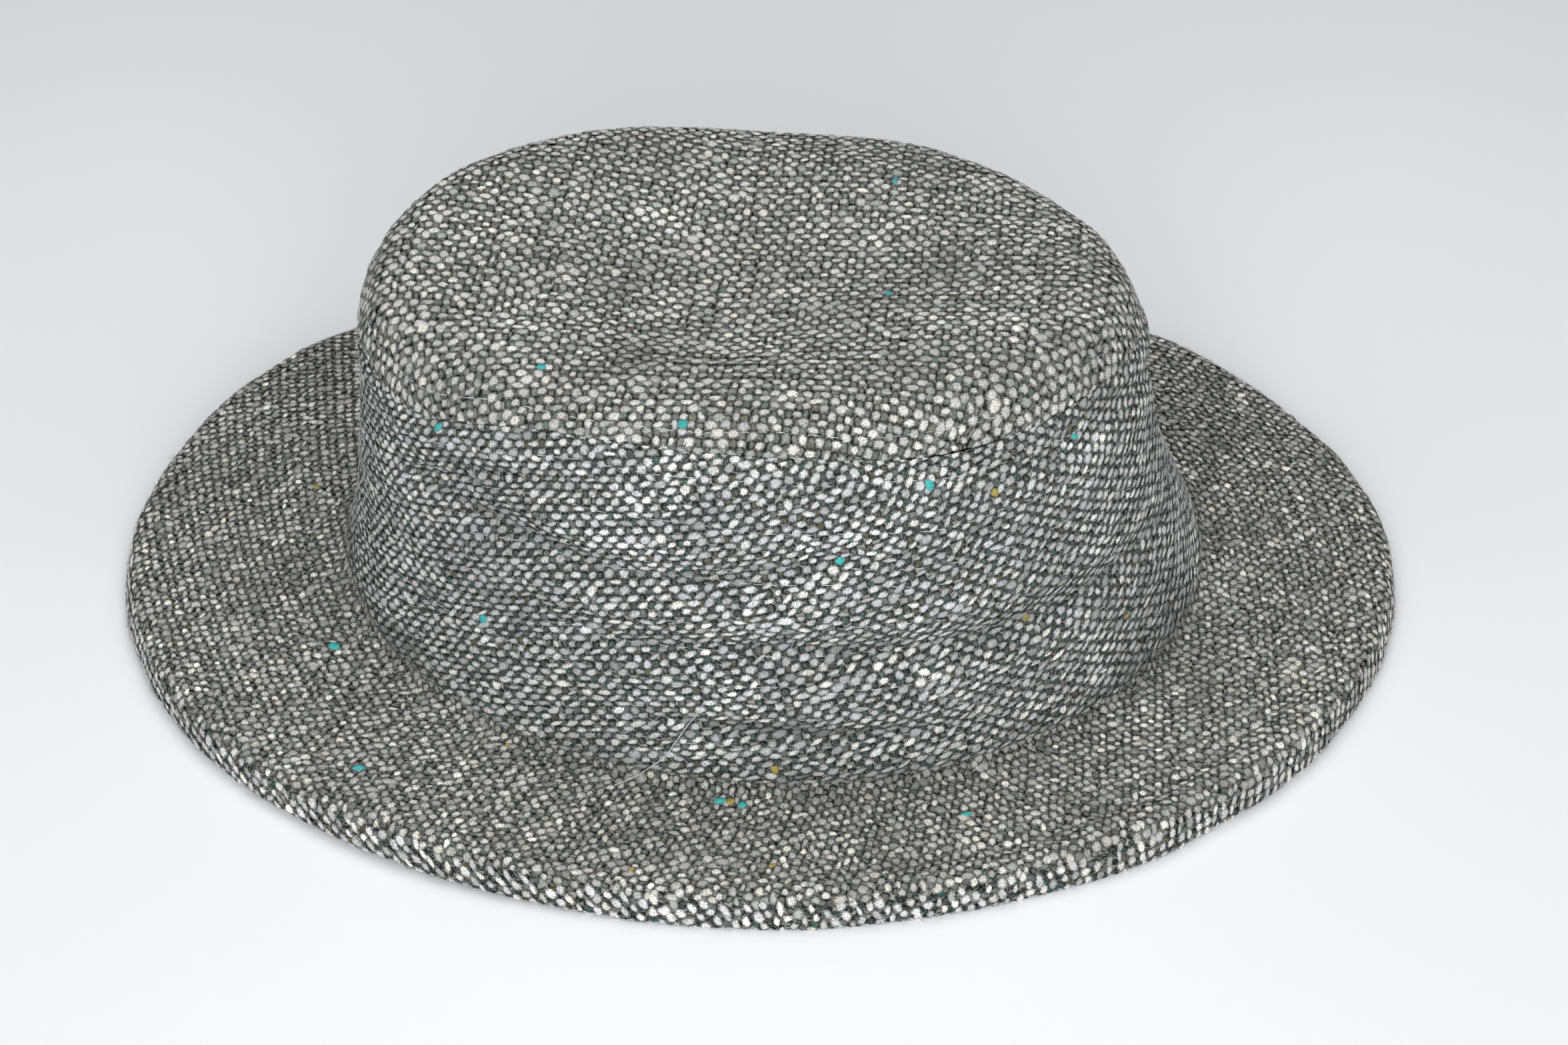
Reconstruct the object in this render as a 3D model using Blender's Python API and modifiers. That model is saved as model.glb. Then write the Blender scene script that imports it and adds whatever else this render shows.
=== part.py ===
# Sewn tweed fedora, resting crown up on its brim.
#
# The hat is one run of cloth cut into three panels. From the outside in they
# are the brim with its turned-down hem, the crown's side wall, and the oval
# crown tip. Every panel is a loft of ovals around the hat, given its wall by
# Solidify, and the panels meet edge to edge at two seams with a small gap.
# +X runs along the head oval, +Z is up, and the origin is under the middle of
# the brim, on the surface that the hat rests on.

import bpy
import bmesh
import numpy as np

# Driving dimensions, in metres
BRIM_LENGTH = 0.297        # overall, along X
BRIM_SPAN = 0.2431         # overall, along Y
CROWN_LENGTH = 0.1975      # crown oval where it meets the brim
CROWN_SPAN = 0.167
CROWN_SHIFT_X = 0.0034     # how far that oval sits off the brim's middle
CROWN_SHIFT_Y = -0.0042
TIP_LENGTH = 0.1694        # oval of the seam around the crown tip
TIP_SPAN = 0.1316
TIP_SHIFT_X = -0.0018
TIP_SHIFT_Y = -0.0054

HEM_HEIGHT = 0.0085        # turned-down edge of the brim
FOOT_HEIGHT = 0.012        # top of the brim beside the crown, above the rest
FOOT_TURN = 0.003          # how far the brim curls up into the crown
CROWN_HEIGHT = 0.071       # from there to the edge of the top
SEAM_DROP = 0.0085         # from that edge down to the seam, where the tip rolls over it
SEAM_OUT = 0.0016          # how far out the seam lies where it has dropped this far
CREST_HEIGHT = 0.0045      # roll of the tip above the edge of the top
TIP_MIDDLE_HEIGHT = 0.0855 # middle of the dished tip, above the rest
SIDE_BULGE = 0.002         # soft outward bow of the side wall

CROWN_WALL = 0.002         # tweed with its backing
BRIM_WALL = 0.003          # two plies, stitched together
SEAM_GAP = 0.0003          # between two panels, along the cloth

FOLD_DEPTH = 0.0028        # a full-depth fold in the side wall
FOLD_WIDTH = 0.006         # half width of a full-width fold
FOLD_RIDGE = 0.45          # strength of the low ridges on both sides of a fold
FOLD_FADE = 1.6            # how gently a fold runs out across its width
DENT_DEPTH = 0.0015        # a full-depth dent in the tip
SIDE_HOLD = 0.12           # share of the wall's height that each seam holds free of folds
TIP_HOLD = 0.1             # share of the way in that the seam holds free of dents

GROOVE_DEPTH = 0.0012      # groove in the brim, where its hem ends underneath
GROOVE_START = 272         # angle where it starts
GROOVE_END = 356
GROOVE_ACROSS = 0.27       # share of the brim's reach, from the rim
GROOVE_WIDTH = 0.06        # its half width, as such a share

FACETS_AROUND = 72
SIDE_BANDS = 20

# One row for each section around the hat, counter-clockwise from +X.
# angle in degrees; lift and hem are shares of HEM_HEIGHT, spread a share of
# the brim's reach, foot of FOOT_HEIGHT, top of CROWN_HEIGHT, drop of
# SEAM_DROP, crest of CREST_HEIGHT, full of SIDE_BULGE. lift is how far the hem
# stands off the surface, a drop below zero is a seam that lies above the edge,
# and a full below zero is a wall that is hollow there.
SECTION_COLUMNS = ("angle", "lift", "spread", "hem", "foot", "top", "drop", "crest", "full")
SECTIONS = (
    (0, 0.07, 0.000, 0.94, 0.95, 1.01, 1.10, 0.90, -1.60),
    (30, 0.00, -0.020, 0.72, 1.04, 0.96, 0.90, 0.90, -1.40),
    (60, 0.00, -0.010, 0.82, 1.08, 0.96, 0.50, 0.90, -0.30),
    (90, 0.00, 0.000, 1.00, 1.12, 0.95, 0.30, 0.90, 0.60),
    (120, 0.12, 0.000, 1.00, 1.17, 0.99, 0.50, 0.95, -0.10),
    (150, 0.36, 0.000, 1.00, 1.20, 1.02, 0.90, 1.00, -1.20),
    (180, 0.18, 0.000, 0.94, 1.20, 1.01, 1.10, 0.95, -1.40),
    (210, 0.10, -0.010, 0.94, 1.00, 0.99, 1.05, 1.00, -0.90),
    (240, 0.14, -0.030, 0.94, 0.82, 1.01, -0.20, 1.30, 0.40),
    (270, 0.00, 0.000, 1.00, 0.66, 1.05, -0.10, 1.40, 1.00),
    (300, 0.00, 0.005, 1.00, 0.68, 1.08, 0.75, 1.10, 0.90),
    (330, 0.06, -0.005, 1.00, 0.74, 1.09, 1.00, 0.95, -0.50),
)

# Across the brim, from the bottom of the hem to the crown seam.
# across is a share of the brim's reach, up of the hem, rise of the height
# from hem to foot, turn of FOOT_TURN.
BRIM_COLUMNS = ("across", "up", "rise", "turn")
BRIM_PROFILE = (
    (0.000, 0.00, 0.00, 0.00),
    (0.012, 0.42, 0.00, 0.00),
    (0.035, 0.80, 0.00, 0.00),
    (0.085, 0.99, 0.02, 0.00),
    (0.200, 1.00, 0.14, 0.00),
    (0.450, 1.00, 0.42, 0.00),
    (0.700, 1.00, 0.68, 0.00),
    (0.880, 1.00, 0.86, 0.00),
    (0.955, 1.00, 0.96, 0.08),
    (0.987, 1.00, 1.00, 0.40),
    (1.000, 1.00, 1.00, 1.00),
)
# Where the brim gets its edges, counted in rows. Two between 4 and 5 carry the groove.
BRIM_EDGES = (0, 1, 2, 3, 4, 4.3, 4.6, 5, 6, 7, 8, 9, 10)

# Up the side wall. up is a share of the wall's height, lean of the way from
# the crown oval to the tip's seam, bulge of SIDE_BULGE.
SIDE_COLUMNS = ("up", "lean", "bulge")
SIDE_PROFILE = (
    (0.00, 0.00, 0.00),
    (0.06, 0.03, 0.28),
    (0.25, 0.16, 0.80),
    (0.50, 0.36, 1.00),
    (0.72, 0.56, 0.90),
    (0.87, 0.71, 0.60),
    (0.95, 0.81, 0.30),
    (1.00, 1.00, 0.00),
)

# Over the tip, from its seam to its middle. inward is a share of the way in,
# shoulder of the seam's drop, level of the height from the edge of the top to
# its middle, crest of CREST_HEIGHT.
TIP_COLUMNS = ("inward", "shoulder", "level", "crest")
TIP_PROFILE = (
    (0.000, 0.00, 0.00, 0.00),
    (0.013, 0.30, 0.00, 0.30),
    (0.060, 0.84, 0.03, 0.62),
    (0.150, 1.00, 0.12, 0.92),
    (0.300, 1.00, 0.34, 1.00),
    (0.500, 1.00, 0.62, 0.72),
    (0.750, 1.00, 0.90, 0.22),
    (1.000, 1.00, 1.00, 0.00),
)

# Soft folds that run around the side wall. start and end are angles, the
# three at_ columns shares of the wall's height where the fold starts, is half
# way and ends, depth of FOLD_DEPTH, width of FOLD_WIDTH.
FOLD_COLUMNS = ("start", "end", "at_start", "at_middle", "at_end", "depth", "width")
FOLDS = (
    (206, 250, 0.76, 0.84, 0.88, 0.50, 0.70),
    (212, 292, 0.76, 0.63, 0.72, 0.80, 0.70),
    (240, 342, 0.44, 0.42, 0.40, 1.00, 0.75),
    (250, 300, 0.21, 0.17, 0.14, 0.45, 0.60),
    (288, 352, 0.97, 0.95, 0.95, 1.45, 0.80),
    (348, 428, 0.68, 0.62, 0.60, 1.95, 4.00),
    (96, 168, 0.55, 0.50, 0.58, 0.90, 1.20),
)

# Shallow dents in the tip. along and across are shares of half its length
# and span from its middle, radius of half its length, depth of DENT_DEPTH.
DENT_COLUMNS = ("along", "across", "radius", "depth")
DENTS = (
    (-0.62, 0.30, 0.16, 0.80),
    (-0.15, -0.42, 0.18, 1.00),
    (0.10, 0.86, 0.20, 1.00),
)


def column(table, columns, name):
    return np.array([row[columns.index(name)] for row in table], float)


def smooth_run(places, values, slopes, at):
    # Hermite curve through the values at the given places
    k = np.clip(np.searchsorted(places, at, side="right") - 1, 0, len(places) - 2)
    step = places[k + 1] - places[k]
    u = (at - places[k]) / step
    start = (1 + 2 * u) * (1 - u) ** 2 * values[k]
    end = u * u * (3 - 2 * u) * values[k + 1]
    lead_in = u * (1 - u) ** 2 * step * slopes[k]
    lead_out = u * u * (u - 1) * step * slopes[k + 1]
    return start + end + lead_in + lead_out


def around(name, angles):
    # a section column, as a smooth closed curve over the angles in degrees
    places = column(SECTIONS, SECTION_COLUMNS, "angle")
    values = column(SECTIONS, SECTION_COLUMNS, name)
    places = np.concatenate([places[-2:] - 360, places, places[:2] + 360])
    values = np.concatenate([values[-2:], values, values[:2]])
    slopes = (values[2:] - values[:-2]) / (places[2:] - places[:-2])
    return smooth_run(places[1:-1], values[1:-1], slopes, angles % 360)


def along(table, columns, name, rows):
    # a profile column, as a smooth curve over the row number
    values = column(table, columns, name)
    places = np.arange(len(values), dtype=float)
    return smooth_run(places, values, np.gradient(values), rows)


def oval(length, span, shift_x, shift_y, angles):
    turn = np.radians(angles)
    return np.stack([shift_x + length / 2 * np.cos(turn), shift_y + span / 2 * np.sin(turn)], -1)


def outward(angles):
    # level direction square to the crown oval
    turn = np.radians(angles)
    square = np.stack([np.cos(turn) / CROWN_LENGTH, np.sin(turn) / CROWN_SPAN], -1)
    return square / np.linalg.norm(square, axis=-1, keepdims=True)


def crown_oval(angles):
    return oval(CROWN_LENGTH, CROWN_SPAN, CROWN_SHIFT_X, CROWN_SHIFT_Y, angles)


def tip_oval(angles):
    return oval(TIP_LENGTH, TIP_SPAN, TIP_SHIFT_X, TIP_SHIFT_Y, angles)


def foot_height(angles):
    return FOOT_HEIGHT * around("foot", angles)


def top_height(angles):
    return foot_height(angles) + FOOT_TURN + CROWN_HEIGHT * around("top", angles)


def seam_height(angles):
    return top_height(angles) - SEAM_DROP * around("drop", angles)


def seam_plan(angles):
    # where the seam lies lower it also lies further out, as the crown widens downwards
    return tip_oval(angles) + outward(angles) * (SEAM_OUT * around("drop", angles))[..., None]


def with_height(plan, height):
    return np.concatenate([plan, height[..., None]], -1)


def half_wave(angles, start, end):
    # how far from start to end an angle is, with the strength there: none at both, steep beside them
    run = np.clip((angles - start) % 360 / (end - start), 0, 1)
    return run, np.sqrt(np.sin(np.pi * run))


def groove_sink(angles, across):
    strength = half_wave(angles, GROOVE_START, GROOVE_END)[1]
    return GROOVE_DEPTH * strength * np.exp(-(((across - GROOVE_ACROSS) / GROOVE_WIDTH) ** 2))


def brim_surface(angles, rows):
    across = along(BRIM_PROFILE, BRIM_COLUMNS, "across", rows)
    up = along(BRIM_PROFILE, BRIM_COLUMNS, "up", rows)
    rise = along(BRIM_PROFILE, BRIM_COLUMNS, "rise", rows)
    turn = along(BRIM_PROFILE, BRIM_COLUMNS, "turn", rows)
    reach = (BRIM_LENGTH - CROWN_LENGTH) / 2
    rim = oval(BRIM_LENGTH, BRIM_SPAN, 0, 0, angles)
    rim = rim + outward(angles) * (reach * around("spread", angles))[..., None]
    plan = rim + (crown_oval(angles) - rim) * across[..., None]
    lift = np.maximum(HEM_HEIGHT * around("lift", angles), 0)
    hem_top = lift + HEM_HEIGHT * around("hem", angles)
    height = lift + (hem_top - lift) * up + (foot_height(angles) - hem_top) * rise + FOOT_TURN * turn
    return with_height(plan, height - groove_sink(angles, across))


def fold_sink(angles, up):
    # how far the folds draw the side wall in, a rounded valley with a low ridge beside it
    sink = np.zeros(np.broadcast(angles, up).shape)
    for row in FOLDS:
        fold = dict(zip(FOLD_COLUMNS, row))
        run, strength = half_wave(angles, fold["start"], fold["end"])
        slope = fold["at_end"] - fold["at_start"]
        sag = fold["at_start"] + slope / 2 - fold["at_middle"]
        path = fold["at_start"] + slope * run - sag * np.sin(np.pi * run) ** 2
        off = (up - path) * CROWN_HEIGHT / (FOLD_WIDTH * fold["width"])
        valley = (1 - FOLD_RIDGE * off ** 2) * np.exp(-(off ** 2) / FOLD_FADE)
        sink = sink + FOLD_DEPTH * fold["depth"] * strength * valley
    return sink


def side_surface(angles, rows):
    up = along(SIDE_PROFILE, SIDE_COLUMNS, "up", rows)
    lean = along(SIDE_PROFILE, SIDE_COLUMNS, "lean", rows)
    bulge = along(SIDE_PROFILE, SIDE_COLUMNS, "bulge", rows)
    foot = crown_oval(angles)
    plan = foot + (seam_plan(angles) - foot) * lean[..., None]
    loose = np.clip(np.minimum(up, 1 - up) / SIDE_HOLD, 0, 1)
    bow = SIDE_BULGE * around("full", angles) * bulge - fold_sink(angles, up) * loose
    plan = plan + outward(angles) * bow[..., None]
    low = foot_height(angles) + FOOT_TURN + SEAM_GAP
    return with_height(plan, low + (seam_height(angles) - low) * up)


def dent_sink(plan):
    sink = np.zeros(plan.shape[:-1])
    for row in DENTS:
        dent = dict(zip(DENT_COLUMNS, row))
        middle_x = TIP_SHIFT_X + dent["along"] * TIP_LENGTH / 2
        middle_y = TIP_SHIFT_Y + dent["across"] * TIP_SPAN / 2
        away = np.hypot(plan[..., 0] - middle_x, plan[..., 1] - middle_y) / (dent["radius"] * TIP_LENGTH / 2)
        sink = sink + DENT_DEPTH * dent["depth"] * np.exp(-(away ** 2))
    return sink


def tip_surface(angles, rows):
    inward = along(TIP_PROFILE, TIP_COLUMNS, "inward", rows)
    shoulder = along(TIP_PROFILE, TIP_COLUMNS, "shoulder", rows)
    level = along(TIP_PROFILE, TIP_COLUMNS, "level", rows)
    crest = along(TIP_PROFILE, TIP_COLUMNS, "crest", rows)
    middle = np.array([TIP_SHIFT_X, TIP_SHIFT_Y])
    rim = seam_plan(angles)
    plan = rim + (middle - rim) * inward[..., None]
    seam = seam_height(angles) + SEAM_GAP * np.sqrt(2)
    top = top_height(angles)
    height = seam + (top - seam) * shoulder + (TIP_MIDDLE_HEIGHT - top) * level
    height = height + CREST_HEIGHT * around("crest", angles) * crest
    loose = np.clip(inward / TIP_HOLD, 0, 1)
    return with_height(plan, height - dent_sink(plan) * loose)


def cloth_panel(name, surface, rows, wall, color, collection, ends_in_point=False):
    # an open loft of the surface over the rows, outside up, with its wall inside
    angles = np.arange(FACETS_AROUND) * 360 / FACETS_AROUND
    grid = surface(*np.meshgrid(angles, rows))
    mesh_builder = bmesh.new()
    rings = [[mesh_builder.verts.new(point) for point in ring] for ring in grid]
    if ends_in_point:
        bmesh.ops.pointmerge(mesh_builder, verts=rings[-1], merge_co=grid[-1].mean(axis=0))
        rings[-1] = None
        mesh_builder.verts.ensure_lookup_table()
        middle = mesh_builder.verts[-1]
    for outer, inner in zip(rings[:-1], rings[1:]):
        for k in range(FACETS_AROUND):
            after = (k + 1) % FACETS_AROUND
            if inner is None:
                mesh_builder.faces.new((outer[k], outer[after], middle))
            else:
                mesh_builder.faces.new((outer[k], outer[after], inner[after], inner[k]))
    mesh = bpy.data.meshes.new(name)
    mesh_builder.to_mesh(mesh)
    mesh_builder.free()
    mesh.shade_smooth()
    mesh.materials.append(tweed(name, color))
    panel = bpy.data.objects.new(name, mesh)
    collection.objects.link(panel)
    solidify = panel.modifiers.new("wall", "SOLIDIFY")
    solidify.thickness = wall
    solidify.offset = -1
    solidify.use_even_offset = True
    return panel


def press_flat(panel):
    # applies the wall, then flattens what would reach below the surface it rests on
    depsgraph = bpy.context.evaluated_depsgraph_get()
    mesh = bpy.data.meshes.new_from_object(panel.evaluated_get(depsgraph))
    panel.modifiers.clear()
    panel.data = mesh
    for vertex in mesh.vertices:
        vertex.co.z = max(vertex.co.z, 0.0)


def tweed(name, color):
    material = bpy.data.materials.new(name + "_tweed")
    material.use_nodes = True
    shader = material.node_tree.nodes["Principled BSDF"]
    shader.inputs["Base Color"].default_value = (*color, 1)
    shader.inputs["Roughness"].default_value = 0.95
    shader.inputs["Metallic"].default_value = 0
    return material


def main():
    for old in list(bpy.data.objects):
        bpy.data.objects.remove(old, do_unlink=True)
    fedora = bpy.data.collections.new("fedora")
    bpy.context.scene.collection.children.link(fedora)

    brim = cloth_panel("brim", brim_surface, np.array(BRIM_EDGES, float), BRIM_WALL, (0.17, 0.17, 0.16), fedora)
    bpy.context.view_layer.update()
    press_flat(brim)

    side_rows = np.linspace(0, len(SIDE_PROFILE) - 1, SIDE_BANDS + 1)
    cloth_panel("crown_side", side_surface, side_rows, CROWN_WALL, (0.22, 0.22, 0.21), fedora)

    tip_rows = np.arange(len(TIP_PROFILE), dtype=float)
    cloth_panel("crown_tip", tip_surface, tip_rows, CROWN_WALL, (0.24, 0.24, 0.23), fedora, True)


main()
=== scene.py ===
import bpy
import numpy as np
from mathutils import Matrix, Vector


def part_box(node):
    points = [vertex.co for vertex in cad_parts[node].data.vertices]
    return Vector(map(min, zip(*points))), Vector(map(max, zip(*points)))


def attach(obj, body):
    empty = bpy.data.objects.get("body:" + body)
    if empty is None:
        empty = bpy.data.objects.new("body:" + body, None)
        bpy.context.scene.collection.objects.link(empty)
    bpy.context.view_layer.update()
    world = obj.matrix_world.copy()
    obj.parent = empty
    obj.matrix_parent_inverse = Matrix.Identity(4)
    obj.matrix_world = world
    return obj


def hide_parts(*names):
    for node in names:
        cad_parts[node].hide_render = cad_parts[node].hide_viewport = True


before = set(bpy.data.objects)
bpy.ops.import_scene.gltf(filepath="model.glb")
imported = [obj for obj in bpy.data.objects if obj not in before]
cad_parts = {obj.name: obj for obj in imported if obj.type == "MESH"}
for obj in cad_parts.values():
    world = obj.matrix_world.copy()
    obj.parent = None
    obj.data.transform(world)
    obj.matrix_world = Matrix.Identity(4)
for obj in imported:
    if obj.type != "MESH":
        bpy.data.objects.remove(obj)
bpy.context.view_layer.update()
mm = 0.001
dice = np.random.default_rng(38)


# Form of the hat
# The outline comes from the frame's boxes, and the shares below are the ones the solids are lofted from.
def boxOval(node, inset=(0, 0, 0, 0)):
    # length, span and middle of a node's box, seen from above, drawn in at +X, +Y, -X and -Y
    low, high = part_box(node)
    right, far, left, near = high.x - inset[0], high.y - inset[1], low.x + inset[2], low.y + inset[3]
    middle = np.array([right + left, far + near]) / 2
    return {"length": right - left, "span": far - near, "middle": middle}


hat = {
    "brim": boxOval("brim"),
    "foot": boxOval("crown_side"),
    "hemHeight": 0.0085,
    "footHeight": 0.012,
    "footTurn": 0.003,
    "crownHeight": 0.071,
    "crestHeight": 0.0045,
    "tipMiddleHeight": 0.0855,
    "seamDrop": 0.0085,
    "seamOut": 0.0016,
    "sideBulge": 0.002,
    "foldDepth": 0.0028,
    "foldWidth": 0.006,
    "foldRidge": 0.45,         # how high the cloth stands beside a fold
    "foldRound": 1.6,          # how far its sides reach
    "foldClear": 0.12,         # share of the wall, at both edges, over which folds fade out
    "creaseDepth": 0.0002,     # line at the bottom of a fold, sharper the narrower the fold is
    "creaseWidth": 0.0012,
    "dentDepth": 0.0015,
    "dentClear": 0.1,          # share of the tip, at its seam, over which dents fade out
}

# Around the hat, every 30 degrees from +X. lift and hem are shares of hemHeight, spread of the brim's reach,
# foot of footHeight, top of crownHeight, drop (how far the tip's seam lies below the top) of seamDrop,
# crest of crestHeight, full (the side wall's bow) of sideBulge.
sections = {
    "lift": [0.07, 0, 0, 0, 0.12, 0.36, 0.18, 0.10, 0.14, 0, 0, 0.06],
    "spread": [0, -0.020, -0.010, 0, 0, 0, 0, -0.010, -0.030, 0, 0.005, -0.005],
    "hem": [0.94, 0.72, 0.82, 1, 1, 1, 0.94, 0.94, 0.94, 1, 1, 1],
    "foot": [0.95, 1.04, 1.08, 1.12, 1.17, 1.20, 1.20, 1, 0.82, 0.66, 0.68, 0.74],
    "top": [1.01, 0.96, 0.96, 0.95, 0.99, 1.02, 1.01, 0.99, 1.01, 1.05, 1.08, 1.09],
    "drop": [1.1, 0.9, 0.5, 0.3, 0.5, 0.9, 1.1, 1.05, -0.2, -0.1, 0.75, 1],
    "crest": [0.90, 0.90, 0.90, 0.90, 0.95, 1, 0.95, 1, 1.30, 1.40, 1.10, 0.95],
    "full": [-1.6, -1.4, -0.3, 0.6, -0.1, -1.2, -1.4, -0.9, 0.4, 1, 0.9, -0.5],
}
# The tip's own oval is its box without the places where its lower seam stands out.
hat["tip"] = boxOval("crown_tip", [hat["seamOut"] * drop for drop in sections["drop"][::3]])
# From the bottom of the hem to the crown: share of the reach, of the hem, of the rise to the crown oval, of
# footTurn.
brimProfile = {
    "across": [0, 0.012, 0.035, 0.085, 0.2, 0.45, 0.7, 0.88, 0.955, 0.987, 1],
    "up": [0, 0.42, 0.80, 0.99, 1, 1, 1, 1, 1, 1, 1],
    "rise": [0, 0, 0, 0.02, 0.14, 0.42, 0.68, 0.86, 0.96, 1, 1],
    "turn": [0, 0, 0, 0, 0, 0, 0, 0, 0.08, 0.40, 1],
}
# Up the side wall: share of its height, of the way from the crown oval to the tip oval, of sideBulge.
sideProfile = {
    "up": [0, 0.06, 0.25, 0.5, 0.72, 0.87, 0.95, 1],
    "lean": [0, 0.03, 0.16, 0.36, 0.56, 0.71, 0.81, 1],
    "bulge": [0, 0.28, 0.80, 1, 0.9, 0.6, 0.30, 0],
}
# Over the tip, from its seam to its middle: share of the way in, of the seam's drop, of the change in height
# from the top to the middle, of crestHeight.
tipProfile = {
    "inward": [0, 0.013, 0.06, 0.15, 0.3, 0.5, 0.75, 1],
    "shoulder": [0, 0.30, 0.84, 1, 1, 1, 1, 1],
    "level": [0, 0, 0.03, 0.12, 0.34, 0.62, 0.90, 1],
    "crest": [0, 0.30, 0.62, 0.92, 1, 0.72, 0.22, 0],
}
# Folds around the side wall: start and end angle, share of the height at start, middle and end, depth, width.
folds = (
    (206, 250, 0.76, 0.84, 0.88, 0.50, 0.70),
    (212, 292, 0.76, 0.63, 0.72, 0.80, 0.70),
    (240, 342, 0.44, 0.42, 0.40, 1.00, 0.75),
    (250, 300, 0.21, 0.17, 0.14, 0.45, 0.60),
    (288, 352, 0.97, 0.95, 0.95, 1.45, 0.80),
    (348, 428, 0.68, 0.62, 0.60, 1.95, 4.00),
    (96, 168, 0.55, 0.50, 0.58, 0.90, 1.20),
)
# The groove in the brim along its hem: angles, share of the reach from the rim, share that it is wide, depth.
groove = {"span": (272, 356), "across": 0.27, "width": 0.06, "depth": 0.0012}
# Dents in the tip: along and across as shares of half its size, radius, depth.
dents = ((-0.62, 0.30, 0.16, 0.80), (-0.15, -0.42, 0.18, 1.00), (0.10, 0.86, 0.20, 1.00))


def smoothRun(places, values, slopes, at):
    # cubic with the given values and slopes at its places (Hermite)
    k = np.clip(np.searchsorted(places, at, side="right") - 1, 0, len(places) - 2)
    step = places[k + 1] - places[k]
    u = (at - places[k]) / step
    held = (1 + 2 * u) * (1 - u) ** 2 * values[k] + u * u * (3 - 2 * u) * values[k + 1]
    led = u * (1 - u) ** 2 * step * slopes[k] + u * u * (u - 1) * step * slopes[k + 1]
    return held + led


def aroundHat(name, degrees):
    # a column of sections as a closed smooth curve
    values = np.array(sections[name], float)
    count = len(values)
    places = np.arange(-2, count + 2) * 360 / count
    values = np.concatenate([values[-2:], values, values[:2]])
    slopes = (values[2:] - values[:-2]) / (places[2:] - places[:-2])
    return smoothRun(places[1:-1], values[1:-1], slopes, degrees % 360)


def readProfile(profile, row):
    # every column of a profile as a smooth curve over the row number
    columns = [np.array(values, float) for values in profile.values()]
    places = np.arange(len(columns[0]), dtype=float)
    return [smoothRun(places, values, np.gradient(values), row) for values in columns]


def ovalAt(oval, degrees):
    # middle + (half the length times cosine, half the span times sine)
    turn = np.radians(degrees)
    away = np.stack([oval["length"] / 2 * np.cos(turn), oval["span"] / 2 * np.sin(turn)], -1)
    return oval["middle"] + away


def levelOut(degrees):
    # level unit vector square to the crown oval
    turn = np.radians(degrees)
    square = np.stack([np.cos(turn) / hat["foot"]["length"], np.sin(turn) / hat["foot"]["span"]], -1)
    return square / np.linalg.norm(square, axis=-1, keepdims=True)


def footHeight(degrees):
    # where the brim turns up into the crown: its share of footHeight
    return hat["footHeight"] * aroundHat("foot", degrees)


def topHeight(degrees):
    # foot + the turn + the share of crownHeight
    return footHeight(degrees) + hat["footTurn"] + hat["crownHeight"] * aroundHat("top", degrees)


def seamHeight(degrees):
    # top less the share of seamDrop
    return topHeight(degrees) - hat["seamDrop"] * aroundHat("drop", degrees)


def seamPlan(degrees):
    # where the seam lies lower it also lies further out, as the crown widens downwards
    out = hat["seamOut"] * aroundHat("drop", degrees)
    return ovalAt(hat["tip"], degrees) + levelOut(degrees) * out[..., None]


def grooveSink(degrees, across):
    # where the turned-under hem ends, a groove runs along the rim: a bell across it, a half wave along it
    start, end = groove["span"]
    run = np.clip((degrees - start) % 360 / (end - start), 0, 1)
    off = (across - groove["across"]) / groove["width"]
    return groove["depth"] * np.sqrt(np.sin(np.pi * run)) * np.exp(-off ** 2)


def brimForm(degrees, row):
    # straight line in plan from rim oval to crown oval, its height = lift + hem + rise to the foot + turn
    across, up, rise, turn = readProfile(brimProfile, row)
    reach = (hat["brim"]["length"] - hat["foot"]["length"]) / 2
    rim = ovalAt(hat["brim"], degrees) + levelOut(degrees) * (reach * aroundHat("spread", degrees))[..., None]
    plan = rim + (ovalAt(hat["foot"], degrees) - rim) * across[..., None]
    lift = np.maximum(hat["hemHeight"] * aroundHat("lift", degrees), 0)
    hemTop = lift + hat["hemHeight"] * aroundHat("hem", degrees)
    height = lift + (hemTop - lift) * up + (footHeight(degrees) - hemTop) * rise + hat["footTurn"] * turn
    height = height - grooveSink(degrees, across)
    return np.concatenate([plan, height[..., None]], -1)


def foldSink(degrees, up):
    # a fold is a rounded valley along a sagging line, with a low ridge on both sides and a crease at its
    # bottom: (1 - ridge off^2) times a bell, fading out to both ends; creaseShadeMask is the crease alone,
    # along which the cloth's colour is painted darker as shade
    sink, creaseShadeMask = np.zeros((2, *np.broadcast(degrees, up).shape))
    for start, end, atStart, atMiddle, atEnd, depth, width in folds:
        run = np.clip((degrees - start) % 360 / (end - start), 0, 1)
        wave = np.sin(np.pi * run)
        path = atStart + (atEnd - atStart) * run + (2 * atMiddle - atStart - atEnd) / 2 * wave ** 2
        away = (up - path) * hat["crownHeight"]
        off = away / (hat["foldWidth"] * width)
        valley = (1 - hat["foldRidge"] * off ** 2) * np.exp(-(off ** 2) / hat["foldRound"])
        crease = np.exp(-((away / hat["creaseWidth"]) ** 2)) / width ** 2
        sink = sink + (hat["foldDepth"] * depth * valley + hat["creaseDepth"] * crease) * np.sqrt(wave)
        creaseShadeMask = creaseShadeMask + crease * np.sqrt(wave)
    return sink, creaseShadeMask


def sideForm(degrees, row):
    # leans from the crown oval to the tip oval, bowed out by sideBulge and drawn in by the folds
    up, lean, bulge = readProfile(sideProfile, row)
    foot = ovalAt(hat["foot"], degrees)
    plan = foot + (seamPlan(degrees) - foot) * lean[..., None]
    loose = np.clip(np.minimum(up, 1 - up) / hat["foldClear"], 0, 1)
    bow = hat["sideBulge"] * aroundHat("full", degrees) * bulge - foldSink(degrees, up)[0] * loose
    plan = plan + levelOut(degrees) * bow[..., None]
    low = footHeight(degrees) + hat["footTurn"]
    height = low + (seamHeight(degrees) - low) * up
    return np.concatenate([plan, height[..., None]], -1)


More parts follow.
